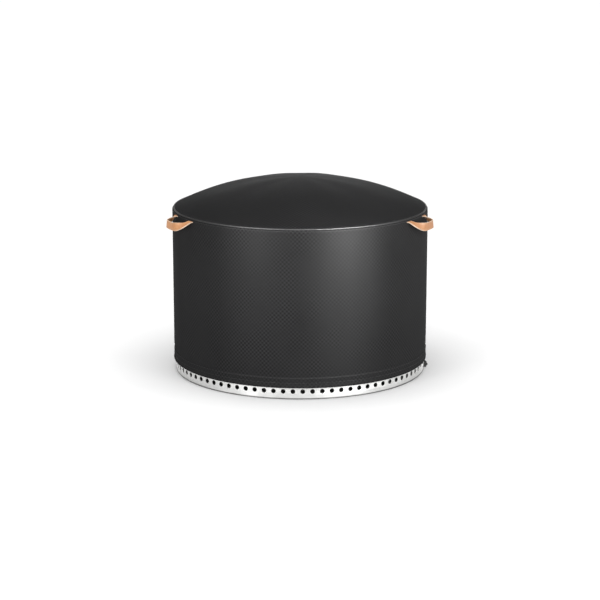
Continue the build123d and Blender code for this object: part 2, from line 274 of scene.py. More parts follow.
def leather_material(name, dark, light, rough=0.5):
    """Vegetable-tanned leather: pebbled grain, pores and cloudy colour."""
    n = Nodes(name)
    where = n.place("Object")
    cells = n.add("ShaderNodeTexVoronoi", {"Vector": where, "Scale": 900.0, "Randomness": 1.0})
    pebbles = cells.outputs["Distance"]
    pores = n.noise(where, 2600.0, 2.0)
    clouds = n.noise(where, 60.0, 4.0)
    scuffs = n.noise(n.place("UV", (60, 900, 1)), 1.0, 3.0)
    tone = n.math("ADD", n.span(clouds, 0.3, 0.7, 0.3, 0.7), n.span(scuffs, 0.35, 0.75, -0.12, 0.22))
    tone = n.math("SUBTRACT", tone, n.span(pebbles, 0.0, 0.6, 0.12, 0.0))
    height = n.math("ADD", n.math("MULTIPLY", pebbles, 0.8), n.math("MULTIPLY", pores, 0.3))
    return n.finish(
        Base_Color=n.ramp(tone, (0.1, dark), (0.9, light)),
        Roughness=n.span(clouds, 0.3, 0.7, rough - 0.06, rough + 0.08),
        Normal=n.bump(height, 0.18 * MM, 0.5),
        Specular_IOR_Level=0.35,
    )


def brushed_steel(name, low, high, rough=0.30, tint=None, foot=0.0):
    """Brushed stainless steel, its brushing level with the ground.

    A tint is (colour, height where it starts, height where it is full). foot is the height of
    the painted contact shadow: a band of painted shade where the metal stands on the ground.
    """
    n = Nodes(name)
    brushing = n.noise(n.place("Object", (9, 9, 1900)), 1.0, 3.0)
    clouds = n.noise(n.place("Object"), 7.0, 3.0)
    smudges = n.noise(n.place("Object", (1, 1, 2)), 24.0, 4.0)
    tone = n.math("ADD", n.span(brushing, 0.3, 0.7, 0.2, 0.8), n.span(clouds, 0.3, 0.7, -0.2, 0.2))
    colour = n.ramp(tone, (0.0, low), (1.0, high))
    # Painted shade: below the foot height the colour darkens towards the ground, standing in for the
    # contact shadow.
    if foot:
        height = n.axes(n.place("Object"))[2]
        shade = n.span(height, foot / 2, foot, 0.22, 1.0)
        colour = n.add("ShaderNodeVectorMath", {0: colour, 1: shade}, operation="MULTIPLY").outputs[0]
    if tint is not None:
        heat_colour, start, full = tint
        height = n.axes(n.place("Object"))[2]
        uneven = n.math("ADD", height, n.span(smudges, 0.3, 0.7, -0.02, 0.02))
        amount = n.span(uneven, start, full, 0.0, 1.0)
        mix = n.add("ShaderNodeMix", data_type="RGBA")
        n.set(mix.inputs[0], amount)
        n.set(mix.inputs[6], colour)
        n.set(mix.inputs[7], (*heat_colour, 1.0))
        colour = mix.outputs[2]
    brushed = n.span(brushing, 0.3, 0.7, rough - 0.05, rough + 0.07)
    return n.finish(
        Base_Color=colour,
        Metallic=1.0,
        Roughness=n.math("ADD", brushed, n.span(smudges, 0.4, 0.7, 0.0, 0.08)),
        Normal=n.bump(brushing, 0.03 * MM, 0.35),
    )


def plastic_material(name, dark, light, rough=0.38):
    """Moulded plastic with a fine spark-eroded texture and faint scuffs."""
    n = Nodes(name)
    where = n.place("Object")
    grain = n.noise(where, 3200.0, 2.0)
    scuffs = n.noise(n.place("Object", (300, 300, 90)), 1.0, 4.0)
    return n.finish(
        Base_Color=n.ramp(scuffs, (0.35, dark), (0.8, light)),
        Roughness=n.span(scuffs, 0.3, 0.7, rough - 0.06, rough + 0.12),
        Normal=n.bump(grain, 0.05 * MM, 0.4),
    )


def cast_material(name, dark, light, rough=0.55):
    """Painted or heat-blackened steel with a dusting of ash."""
    n = Nodes(name)
    where = n.place("Object")
    ash = n.noise(where, 30.0, 5.0, 0.6)
    grain = n.noise(where, 1400.0, 2.0)
    return n.finish(
        Base_Color=n.ramp(ash, (0.35, dark), (0.75, light)),
        Metallic=0.6,
        Roughness=n.span(ash, 0.3, 0.7, rough - 0.08, rough + 0.2),
        Normal=n.bump(n.math("ADD", grain, ash), 0.12 * MM, 0.5),
    )


WALL_CLOTH = cloth_material("wall_cloth", (0.0050, 0.0050, 0.0053), (0.0180, 0.0180, 0.0187), fade=0.35)
# Painted shade: the crown is the wall's cloth made darker, to offset the brighter light that falls on its
# top.
SHADED_CROWN_CLOTH = cloth_material("crown_cloth", (0.0040, 0.0040, 0.0042), (0.0140, 0.0140, 0.0146))
TRIM_CLOTH = cloth_material(
    "trim_cloth", (0.006, 0.006, 0.006), (0.020, 0.020, 0.0205), 0.9 * MM, 1.9 * MM, 0.45, 0.35
)
LINING = cloth_material(
    "lining_cloth", (0.028, 0.028, 0.029), (0.060, 0.060, 0.062), 1.3 * MM, 2.7 * MM, 0.42, 0.4
)
CORD_BRAID = braid_material("cord_braid", (0.006, 0.006, 0.006), (0.030, 0.030, 0.031))
THREAD = braid_material("black_thread", (0.010, 0.010, 0.010), (0.045, 0.045, 0.046), 3, 0.9 * MM)
LEATHER = leather_material("leather_face", (0.40, 0.165, 0.060), (0.56, 0.27, 0.115))
LEATHER_EDGE = leather_material("leather_edge", (0.50, 0.34, 0.23), (0.68, 0.52, 0.39), 0.62)
PALE_THREAD = braid_material("pale_thread", (0.42, 0.30, 0.20), (0.80, 0.66, 0.50), 3, 0.9 * MM)
PLASTIC = plastic_material("black_plastic", (0.012, 0.012, 0.012), (0.030, 0.030, 0.031))
ROD = plastic_material("stay_rod", (0.55, 0.53, 0.45), (0.70, 0.68, 0.60), 0.30)
SPRING = brushed_steel("spring_steel", (0.45, 0.45, 0.45), (0.62, 0.62, 0.61), 0.25)
STEEL = ((0.60, 0.60, 0.59), (0.76, 0.76, 0.75), 0.30)
WEATHER = ((0.30, 0.295, 0.285), 0.05, 0.14)
HEAT = ((0.42, 0.30, 0.20), 0.30, 0.46)
PIT_STEEL = brushed_steel("pit_steel", *STEEL)
# The outer wall's steel: a weathering tint higher up, and a painted contact shadow along its foot.
WEATHERED_FOOT_SHADED_STEEL = brushed_steel("weathered_steel_with_painted_foot_shade", *STEEL, WEATHER, foot=4.0 * MM)
HEATED = brushed_steel("heated_steel", (0.66, 0.65, 0.63), (0.80, 0.79, 0.77), 0.34, HEAT)
GRATE = cast_material("grate_steel", (0.035, 0.033, 0.031), (0.17, 0.165, 0.155))


# --- Mesh helpers -------------------------------------------------------------------------------
def solid(name, vertices, faces, material, uv=None, face_material=None):
    """A smooth-shaded mesh object. uv has a pair for each vertex, face_material a slot for each face."""
    mesh = bpy.data.meshes.new(name)
    mesh.from_pydata([tuple(v) for v in vertices], [], faces)
    materials = material if isinstance(material, (list, tuple)) else [material]
    for each in materials:
        mesh.materials.append(each)
    for k, polygon in enumerate(mesh.polygons):
        polygon.use_smooth = True
        if face_material is not None:
            polygon.material_index = face_material[k]
    if uv is not None:
        layer = mesh.uv_layers.new(name="cloth")
        for loop in mesh.loops:
            layer.data[loop.index].uv = uv[loop.vertex_index]
    mesh.validate()
    piece = bpy.data.objects.new(name, mesh)
    bpy.context.collection.objects.link(piece)
    return piece


def skin_faces(rows, width, closed, first=0):
    """Faces over rows of points, numbered from first on. closed joins each row's ends."""
    faces = []
    for r in range(rows - 1):
        a, b = first + r * width, first + (r + 1) * width
        for c in range(width if closed else width - 1):
            d = (c + 1) % width
            faces.append((a + c, a + d, b + d, b + c))
    return faces


def cap_faces(rows, width, first=0):
    """The two faces that close the ends of a tube."""
    last = first + (rows - 1) * width
    return [tuple(first + c for c in reversed(range(width))), tuple(last + c for c in range(width))]


def lofted(name, rows, material, closed=False, caps=False):
    """A skin over rows of (point, UV pair), each as long as the next."""
    width = len(rows[0])
    vertices = [point for row in rows for point, _ in row]
    uv = [pair for row in rows for _, pair in row]
    faces = skin_faces(len(rows), width, closed)
    if caps:
        faces += cap_faces(len(rows), width)
    return solid(name, vertices, faces, material, uv)


def thicken(piece, thickness, offset=-1.0, inside_material=False):
    """Gives a cloth its thickness, and its inner face the second material."""
    modifier = piece.modifiers.new("thickness", "SOLIDIFY")
    modifier.thickness = thickness
    modifier.offset = offset
    if inside_material:
        modifier.material_offset = 1
    return piece


def join_up(name, pieces):
    """One object from several."""
    bpy.ops.object.select_all(action="DESELECT")
    for piece in pieces:
        piece.select_set(True)
    bpy.context.view_layer.objects.active = pieces[0]
    bpy.ops.object.join()
    pieces[0].name = name
    return pieces[0]


def distances(path):
    """How far along a line each of its points is."""
    lengths = [0.0]
    for a, b in zip(path, path[1:]):
        lengths.append(lengths[-1] + (b - a).length)
    return lengths


def stretch(lengths, distance, k=0):
    """Which stretch of a line a distance falls in, looked for from the k-th on, and how far along it."""
    while k < len(lengths) - 2 and lengths[k + 1] < distance:
        k += 1
    return k, (distance - lengths[k]) / max(lengths[k + 1] - lengths[k], 1e-9)


def stitches(name, run, material, pitch=4.2 * MM, gap=0.9 * MM, radius=0.28 * MM, rise=0.30 * MM):
    """Sewn thread along a run of (point, outward direction): a short arched strand for each stitch."""
    lengths = distances([point for point, _ in run])
    sides, bends = 6, 4
    vertices, faces, uv = [], [], []
    k = 0
    for s in range(int(lengths[-1] / pitch)):
        first = len(vertices)
        for b in range(bends + 1):
            arch = sin(pi * b / bends)
            k, share = stretch(lengths, s * pitch + gap / 2 + (pitch - gap) * b / bends, k)
            (here, out_here), (after, out_after) = run[k], run[k + 1]
            out = out_here.lerp(out_after, share).normalized()
            across = (after - here).normalized().cross(out).normalized()
            centre = here.lerp(after, share) + out * (rise * arch - 0.6 * radius)
            thin = radius * (0.55 + 0.45 * arch)
            for j in range(sides):
                turn = 2 * pi * j / sides
                vertices.append(centre + across * thin * cos(turn) + out * thin * sin(turn))
                uv.append((j / sides, (s + b / bends) * pitch))
        faces += skin_faces(bends + 1, sides, True, first)
        faces += cap_faces(bends + 1, sides, first)
    return solid(name, vertices, faces, material, uv)


def circle_run(radius, height, out_angle):
    """A run for stitches round the cover; out_angle is how far its outward direction looks up."""
    steps = 720
    run = []
    for k in range(steps + 1):
        azimuth = 360.0 * k / steps
        out = polar(azimuth, cos(radians(out_angle)), sin(radians(out_angle)))
        run.append((polar(azimuth, radius, height), out))
    return run


def read_route(name, points):
    """The points of a smooth NURBS line through a cord's route."""
    curve = bpy.data.curves.new(name, "CURVE")
    curve.dimensions = "3D"
    curve.resolution_u = 24
    spline = curve.splines.new("NURBS")
    spline.points.add(len(points) - 1)
    for control, point in zip(spline.points, points):
        control.co = (*point, 1.0)
    spline.order_u = 3
    spline.use_endpoint_u = True
    holder = bpy.data.objects.new(name, curve)
    bpy.context.collection.objects.link(holder)
    bpy.context.view_layer.update()
    line = bpy.data.meshes.new_from_object(holder)
    path = [v.co.copy() for v in line.vertices]
    bpy.data.objects.remove(holder)
    bpy.data.meshes.remove(line)
    return path


def evenly(path, step):
    """The same line with points a step apart."""
    lengths = distances(path)
    count = max(2, round(lengths[-1] / step))
    spaced = [path[0].copy()]
    k = 0
    for i in range(1, count):
        k, share = stretch(lengths, lengths[-1] * i / count, k)
        spaced.append(path[k].lerp(path[k + 1], share))
    spaced.append(path[-1].copy())
    return spaced


def braided_tube(name, path, radius, material, strands=8, lay=3.2 * MM, relief=0.10, sides=24):
    """A round cord with a braid standing in relief and its ends melted round."""
    rows = []
    up = Vector((0, 0, 1))
    way = (path[1] - path[0]).normalized()
    normal = (up - way * up.dot(way)).normalized() if abs(way.z) < 0.9 else Vector((1, 0, 0))
    lengths = distances(path)
    for k, along in enumerate(lengths):
        before, after = path[max(k - 1, 0)], path[min(k + 1, len(path) - 1)]
        new_way = (after - before).normalized()
        normal = way.rotation_difference(new_way) @ normal
        way = new_way
        side = way.cross(normal).normalized()
        end = min(along, lengths[-1] - along) / radius
        taper = sqrt(max(0.0, 1 - (1 - min(end, 1.0)) ** 2)) * 0.97 + 0.03
        twist = 2 * pi * along / lay
        row = []
        for j in range(sides):
            turn = 2 * pi * j / sides
            crossing = sin(turn * strands / 2 + twist) * sin(turn * strands / 2 - twist)
            r = radius * taper * (1 - relief + relief * abs(crossing))
            point = path[k] + normal * r * cos(turn) + side * r * sin(turn)
            row.append((point, (j / sides, along)))
        rows.append(row)
    return lofted(name, rows, material, closed=True, caps=True)


def on_cover(piece, node=None):
    """Fixes a piece to the cover, in place of a CAD node if it has one."""
    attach(piece, "cover")
    if node is not None:
        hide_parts(node)


# --- Drawcord tails, their lock's spring and their knot -----------------------------------------
# The route of the pair of tails, as (azimuth, radius, height, half the distance between the two), in mm.
TAIL_ROUTE = [
    (34.0, 346.0, 33.5, 1.8),
    (34.0, 404.0, 33.5, 1.9),
    (29.4, 414.0, 10.0, 2.2),
    (24.4, 391.0, 1.7, 2.4),
    (20.2, 373.0, 1.7, 2.9),
    (15.8, 359.5, 1.7, 2.6),
    (11.4, 351.0, 1.7, 2.1),
    (7.0, 350.0, 1.7, 2.2),
    (2.6, 352.2, 2.3, 1.9),
    (-0.7, 349.0, 3.9, 1.75),
    (-4.2, 346.4, 1.8, 1.9),
]
KNOT_AZIMUTH = -0.5
KNOT_TRACK = 0.3493
KNOT_RADIUS = 0.0044
LOCK_OUT = 0.3579
SPRING_LOW = 0.0210
SPRING_HIGH = 0.0290


def beside(route, side):
    """One tail's points: the route moved sideways in plan, mitred, to the left for side 1."""
    points = [polar(azimuth, radius * MM, height * MM) for azimuth, radius, height, _ in route]
    ways = [atan2(b.y - a.y, b.x - a.x) for a, b in zip(points, points[1:])]
    moved = []
    for k, point in enumerate(points):
        before, after = ways[max(k - 1, 0)], ways[min(k, len(ways) - 1)]
        half_turn = atan2(sin(after - before), cos(after - before)) / 2
        mitre = before + half_turn
        offset = side * route[k][3] * MM / cos(half_turn)
        moved.append(point + Vector((-sin(mitre), cos(mitre), 0)) * offset)
    return moved


def make_lock_spring():
    """The cord lock's spring, a coil between its cup and the plunger, built at one length."""
    coil, wire = 3.8 * MM, 0.45 * MM
    turns, steps = 4, 192
    axis = polar(CORD_AZIMUTH, LOCK_OUT, 0)
    path = []
    for k in range(steps + 1):
        turn = radians(CORD_AZIMUTH) + 2 * pi * turns * k / steps
        height = SPRING_LOW + (SPRING_HIGH - SPRING_LOW) * k / steps
        path.append(axis + Vector((coil * cos(turn), coil * sin(turn), height)))
    spring = braided_tube("cord_lock_coil", path, wire, SPRING, relief=0.0, sides=12)
    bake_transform(spring)
    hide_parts("cord_lock_spring")
    return spring


def make_tails():
    spring = make_lock_spring()
    paths = {}
    for name, side in (("drawcord_tail_inner", -1), ("drawcord_tail_outer", 1)):
        points = beside(TAIL_ROUTE, side)
        # A point halfway keeps the first run straight, so that the lock slides along it.
        points.insert(1, points[0].lerp(points[1], 0.5))
        path = evenly(read_route(name + "_line", points), 0.5 * MM)
        paths[name] = path
        tail = braided_tube(name + "_braid", path, CORD_RADIUS, CORD_BRAID)
        on_cover(tail, name)
    knot = make_knot(paths["drawcord_tail_inner"])
    lock = ["cord_lock_body", "cord_lock_plunger", spring]
    for name, pieces in (("drawcord_tail_inner", lock), ("drawcord_tail_outer", [knot])):
        path = paths[name]


def make_knot(tail):
    """A knot drawn tight round both tails: three close wraps, whose ends tuck in under them."""
    centre = polar(KNOT_AZIMUTH, KNOT_TRACK, KNOT_RADIUS)
    nearest = min(range(len(tail)), key=lambda k: (tail[k] - centre).length)
    way = (tail[nearest + 4] - tail[nearest - 4]).normalized()
    across = Vector((way.y, -way.x, 0)).normalized()
    up = across.cross(way).normalized()
    if up.z < 0:
        up = -up
    strand = 1.15 * MM
    half_width, half_height = 4.5 * MM, 2.85 * MM
    turns, steps = 3, 150
    path = []
    for k in range(steps + 1):
        share = k / steps
        turn = 2 * pi * turns * share
        along = (share - 0.5) * 6.4 * MM
        swell = 1 - 0.18 * abs(2 * share - 1) ** 2
        offset = across * half_width * swell * cos(turn) + up * half_height * swell * sin(turn)
        path.append(centre - up * 0.35 * MM + way * along + offset)
    for _ in range(2):
        path.reverse()
        last = path[-1]
        tuck = centre + way * (last - path[-20]).dot(way) * 0.2 - up * 0.3 * MM
        path.append(last.lerp(tuck, 0.35))
        path.append(last.lerp(tuck, 0.7))
    knot = braided_tube("drawcord_overhand_knot", evenly(path, 0.35 * MM), strand, CORD_BRAID, sides=16)
    on_cover(knot, "drawcord_knot")
    return knot


make_tails()


# --- Cover: cloth -------------------------------------------------------------------------------
# The wall's slow folds, as (how many go round it, lean, phase, share of WALL_WAVE).
WAVES = ((7, 0.9, 0.3, 1.0), (12, -1.4, 2.1, 0.7), (19, 2.2, 4.0, 0.45), (31, -0.8, 1.2, 0.22))
WALL_WAVE = 0.38 * MM
GATHERS = 150
GATHER_DEPTH = 0.32 * MM
PUCKERS = 190
PUCKER_DEPTH = 0.16 * MM
# The side seams: half the lap and the ease of its edge, in degrees, and how far it stands out.
LAP = 1.1
LAP_BLEND = 0.35
LAP_STEP = FABRIC * 0.95
CROWN_SAG = 1.1 * MM
CROWN_SLACK = 0.35 * MM
HEM_LAYER = 0.8 * MM
HEM_GATHER = 0.55 * MM
TUNNEL = 1.9 * MM
SLOT_GAP = 0.05 * MM


def uneven(azimuth):
    """A slow wander between -1 and 1 round the cover, so that no two gathers are alike."""
    return 0.6 * sin(17 * radians(azimuth) + 0.7) + 0.4 * sin(41 * radians(azimuth) + 2.0)


def hang(azimuth, height):
    """How far the wall cloth stands out of true.

    It has slow folds, gathers over the hem and puckers under the shoulder seam.
    """
    turn = radians(azimuth)
    share = (height - HEM_TOP) / (SHOULDER_Z - HEM_TOP)
    folds = sum(size * sin(count * turn + lean * share + phase) for count, lean, phase, size in WAVES)
    middle = sqrt(max(sin(pi * min(max(share, 0.0), 1.0)), 0.0))
    wander = uneven(azimuth)
    gather = smooth(1 - (height - HEM_TOP) / 0.045) * (0.5 + 0.5 * wander)
    pucker = smooth(1 - (SHOULDER_Z - height) / 0.018) * (0.7 + 0.3 * wander)
    away_from_slot = smooth((height - HEM_TOP + 0.002) / 0.008)
    return (
        WALL_WAVE * middle * folds
        + GATHER_DEPTH * gather * away_from_slot * sin(GATHERS * turn + 2 * wander)
        + PUCKER_DEPTH * pucker * sin(PUCKERS * turn + wander)
    )


def wall_profile():
    """The wall from the hem slot to the seam.

    Each point is (radius, height, way out radially, way out upwards, length of cloth).
    """
    profile = []
    rows, steps = 72, 8
    low = HEM_SLOT_Z + 0.0003
    for k in range(rows + 1):
        height = low + (SHOULDER_Z - low) * k / rows
        profile.append((COVER_RADIUS, height, 1.0, 0.0, height - low))
    for k in range(1, steps + 1):
        angle = 90 + (WALL_EDGE - 90) * k / steps
        radius, height = shoulder(angle)
        length = SHOULDER_Z - low + radians(90 - angle) * SHOULDER_RADIUS
        profile.append((radius, height, sin(radians(angle)), cos(radians(angle)), length))
    return profile


def make_wall(name, node, start, lap):
    """Half of the wall. The front half laps over the rear one at both sides, in a flat seam."""
    columns = WALL_COLUMNS
    first, last = start - lap, start + 180 + lap
    rows = []
    for radius, height, radial, upward, length in wall_profile():
        row = []
        for k in range(columns + 1):
            azimuth = first + (last - first) * k / columns
            out = hang(azimuth, height)
            if lap > 0:
                from_seam = min(abs(azimuth - start), abs(azimuth - start - 180))
                step = LAP_STEP * smooth(1 - (from_seam - LAP) / LAP_BLEND)
                out += step * smooth((height - HEM_TOP) / 0.004)
            point = polar(azimuth, radius + radial * out, height + upward * out)
            row.append((point, (radians(azimuth) * COVER_RADIUS, length)))
        rows.append(row)
    wall = lofted(name, rows, [WALL_CLOTH, LINING])
    thicken(wall, FABRIC, inside_material=True)
    on_cover(wall, node)
    return wall


def side_seam_stitches():
    """Two rows of stitching down each side seam."""
    pieces = []
    steps = 150
    for side in (0.0, 180.0):
        for offset in (LAP_BLEND - LAP, LAP - LAP_BLEND):
            azimuth = side + offset
            run = []
            for k in range(steps + 1):
                height = HEM_TOP + 0.004 + (SHOULDER_Z - HEM_TOP - 0.006) * k / steps
                out = hang(azimuth, height) + LAP_STEP
                run.append((polar(azimuth, COVER_RADIUS + out, height), polar(azimuth, 1.0)))
            pieces.append(stitches("side_row", run, THREAD))
    return join_up("side_seam_stitches", pieces)


def crown_drop(azimuth, angle):
    """How far the crown sinks between the stays, with a little slack."""
    share = angle / SHOULDER_START
    between = (1 - cos(radians(STAYS * (azimuth - FIRST_STAY)))) / 2
    sag = CROWN_SAG * between * sin(pi * min(share, 1.0)) ** 1.3
    slack = CROWN_SLACK * sin(3 * radians(azimuth) + 5 * share) * sin(pi * share)
    return sag + slack


def make_crown():
    columns, rings, steps = 360, 58, 5
    profile = []
    for k in range(1, rings + 1):
        angle = SHOULDER_START * k / rings
        profile.append((dome(angle), angle))
    for k in range(1, steps + 1):
        angle = SHOULDER_START + (CROWN_EDGE - SHOULDER_START) * k / steps
        profile.append((shoulder(angle), angle))
    apex = Vector((0, 0, APEX_HEIGHT))
    vertices, uv, faces = [apex], [(0.0, 0.0)], []
    length, previous = 0.0, (0.0, APEX_HEIGHT)
    for (radius, height), angle in profile:
        length += hypot(radius - previous[0], height - previous[1])
        previous = (radius, height)
        near_seam = smooth(1 - (COVER_RADIUS - radius) / 0.022)
        for c in range(columns):
            azimuth = 360.0 * c / columns
            turn = radians(azimuth)
            pucker = PUCKER_DEPTH * near_seam * sin(PUCKERS / 2 * turn + 0.8 * sin(13 * turn))
            out = pucker - crown_drop(azimuth, min(angle, SHOULDER_START))
            rise = out * cos(radians(angle))
            vertices.append(polar(azimuth, radius + out * sin(radians(angle)), height + rise))
            uv.append((length * cos(turn), length * sin(turn)))
    for c in range(columns):
        faces.append((0, 1 + c, 1 + (c + 1) % columns))
    for r in range(len(profile) - 1):
        a, b = 1 + r * columns, 1 + (r + 1) * columns
        for c in range(columns):
            d = (c + 1) % columns
            faces.append((a + c, b + c, b + d, a + d))
    crown = solid("crown_cloth_panel", vertices, faces, [SHADED_CROWN_CLOTH, LINING], uv)
    thicken(crown, FABRIC, inside_material=True)
    on_cover(crown, "crown_panel")
    return crown


def ring_cloth(name, outline, material, displace, columns):
    """A closed outline of (radius, height) swept round the cover, moved by displace(azimuth, k)."""
    rows = []
    lengths = distances([Vector(corner) for corner in outline])
    for c in range(columns + 1):
        azimuth = 360.0 * c / columns
        row = []
        for k, (radius, height) in enumerate(outline):
            out, rise = displace(azimuth, k)
            point = polar(azimuth, radius + out, height + rise)
            row.append((point, (radians(azimuth) * COVER_RADIUS, lengths[k])))
        rows.append(row)
    # The last row is the first one again, so that the weave isn't squeezed between them.
    return lofted(name, rows, material, closed=True)


def make_piping():
    """The piping in the shoulder seam: cloth pulled round a core, creased a little across."""
    sides = 14
    centre = shoulder(PIPING_ANGLE, -FABRIC / 2)
    turns = [2 * pi * k / sides for k in range(sides)]
    outline = [(centre[0] + PIPING_RADIUS * cos(t), centre[1] - PIPING_RADIUS * sin(t)) for t in turns]

    def creases(azimuth, k):
        fold = sin(420 * radians(azimuth) + 1.5 * sin(turns[k]))
        size = 0.07 * MM * fold * (0.6 + 0.4 * sin(29 * radians(azimuth)))
        return size * cos(turns[k]), -size * sin(turns[k])

    piping = ring_cloth("shoulder_piping_cloth", outline, TRIM_CLOTH, creases, 1440)
    on_cover(piping, "shoulder_piping")
    return piping


def hem_outline():
    """The hem band's outer face down over the drawcord tunnel and up its inner face, then the slot."""
    slot_outer, slot_inner = COVER_RADIUS + SLOT_GAP, COVER_RADIUS - FABRIC - SLOT_GAP
    outer, inner = slot_outer + HEM_LAYER, slot_inner - HEM_LAYER
    tunnel = TUNNEL + HEM_LAYER
    top, rounded = HEM_TOP - 0.0005, 0.0003
    waist = (HEM_SLOT_Z + CORD_HEIGHT) / 2 + 0.001
    rows, steps = 5, 12
    outline = [(outer - rounded, HEM_TOP), (outer, top)]
    for k in range(1, rows + 1):
        outline.append((outer, top + (HEM_SLOT_Z - top) * k / rows))
    outline.append(((outer + CORD_TRACK + tunnel) / 2 - rounded, waist))
    for k in range(steps + 1):
        turn = -pi * k / steps
        outline.append((CORD_TRACK + tunnel * cos(turn), CORD_HEIGHT + tunnel * sin(turn)))
    outline.append(((inner + CORD_TRACK - tunnel) / 2 + rounded, waist))
    outline += [(inner, HEM_SLOT_Z), (inner, top), (inner + rounded, HEM_TOP)]
    outline += [(slot_inner, HEM_TOP), (slot_inner, HEM_SLOT_Z)]
    outline += [(slot_outer, HEM_SLOT_Z), (slot_outer, HEM_TOP)]
    return outline


def make_hem():
    outline = hem_outline()

    def gathers(azimuth, k):
        radius, height = outline[k]
        if height > HEM_TOP - 0.0008:
            return 0.0, 0.0
        near_cord = smooth(1 - (height - CORD_HEIGHT) / 0.022)
        wander = uneven(azimuth)
        fold = (0.55 + 0.45 * wander) * sin(GATHERS * radians(azimuth) + 2 * wander)
        size = HEM_GATHER * near_cord * fold
        outside = 1.0 if radius > CORD_TRACK else -0.4
        return size * outside, 0.35 * size

    hem = ring_cloth("hem_band_cloth", outline, WALL_CLOTH, gathers, 1200)
    cut_exit(hem)
    on_cover(hem, "hem_band")
    return hem


def cut_exit(hem):
    """Opens the hem where the drawcord comes out."""
    bpy.ops.mesh.primitive_cube_add(size=1)
    cutter = bpy.context.object
    depth = 0.012
    cutter.scale = (depth, *CORD_WINDOW)
    cutter.rotation_euler = (0, 0, radians(CORD_AZIMUTH))
    cutter.location = polar(CORD_AZIMUTH, CORD_TRACK + depth / 2, CORD_HEIGHT)
    modifier = hem.modifiers.new("exit", "BOOLEAN")
    modifier.operation = "DIFFERENCE"
    modifier.object = cutter
    modifier.solver = "EXACT"
    bpy.context.view_layer.update()
    cut = bpy.data.meshes.new_from_object(hem.evaluated_get(bpy.context.evaluated_depsgraph_get()))
    hem.modifiers.clear()
    hem.data = cut
    bpy.data.objects.remove(cutter)


def make_cover_cloth():
    front = make_wall("front_wall_cloth", "front_wall_panel", 180.0, LAP)
    rear = make_wall("rear_wall_cloth", "rear_wall_panel", 0.0, 0.0)
    crown = make_crown()
    piping = make_piping()
    hem = make_hem()

    side_rows = side_seam_stitches()
    below_radius, below_height = shoulder(77.0)
    above_radius, above_height = shoulder(SHOULDER_START, -0.0001)
    hem_out = COVER_RADIUS + HEM_LAYER
    circles = (
        (below_radius + 0.0001, below_height, 13),
        (above_radius - 0.002, above_height + 0.0009, 64),
        (hem_out, HEM_TOP - 0.003, 0),
        (hem_out + 0.0001, HEM_SLOT_Z + 0.001, 0),
    )
    rows = [stitches("ring_row", circle_run(*circle), THREAD) for circle in circles]
    ring_rows = join_up("seam_stitches", rows)
    on_cover(side_rows)
    on_cover(ring_rows)


make_cover_cloth()


# --- Cover: inside trims ------------------------------------------------------------------------
def inner_patch(name, node, facing, half_angle, low, high, thickness, material, rows=12):
    """A patch sewn against the inside of the wall, its corners rounded and its edge stitched."""
    outside = COVER_RADIUS - FABRIC - 0.0009
    columns = max(6, int(half_angle * 3))
    half_width, half_height = radians(half_angle) * outside, (high - low) / 2
    corner = min(half_width, half_height) * 0.35
    grid = []
    for r in range(rows + 1):
        row = []
        v = half_height * (2 * r / rows - 1)
        over = max(abs(v) - (half_height - corner), 0.0)
        trim = corner - sqrt(max(corner**2 - over**2, 0.0))
        for c in range(columns + 1):
            u = (half_width - trim) * (2 * c / columns - 1)
            crease = 0.12 * MM * sin(260 * u) * sin(180 * v)
            azimuth = facing + degrees(u / outside)
            row.append((polar(azimuth, outside + crease, low + half_height + v), (u, v)))
        grid.append(row)
    patch = lofted(name, grid, material)
    thicken(patch, thickness)
    run = []
    inset = 0.0022
    steps = 40
    corners = [(-1, -1), (1, -1), (1, 1), (-1, 1)]
    for (u0, v0), (u1, v1) in zip(corners, corners[1:] + corners[:1]):
        for k in range(steps):
            u = (half_width - corner * 0.3 - inset) * (u0 + (u1 - u0) * k / steps)
            v = (half_height - inset) * (v0 + (v1 - v0) * k / steps)
            azimuth = facing + degrees(u / outside)
            run.append((polar(azimuth, outside - thickness, low + half_height + v), polar(azimuth, -1.0)))
    edge = stitches(name + "_stitches", run, THREAD)
    on_cover(patch, node)
    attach(edge, "cover")


def make_inner_trims():
    for side, facing in (("right", -HANDLE_AZIMUTH), ("left", 180 + HANDLE_AZIMUTH)):
        name = f"{side}_handle_backing"
        low, high = HANDLE_HEIGHT - 0.026, SHOULDER_Z - 0.001
        inner_patch(f"{name}_patch", name, facing, 12.0, low, high, 0.001, TRIM_CLOTH)
    for side, facing in (("right", 0.0), ("left", 180.0)):
        name = f"{side}_seam_binding"
        low, high = HEM_TOP + 0.004, SHOULDER_Z - 0.006
        inner_patch(f"{name}_tape", name, facing, 1.8, low, high, 0.00075, TRIM_CLOTH, rows=90)


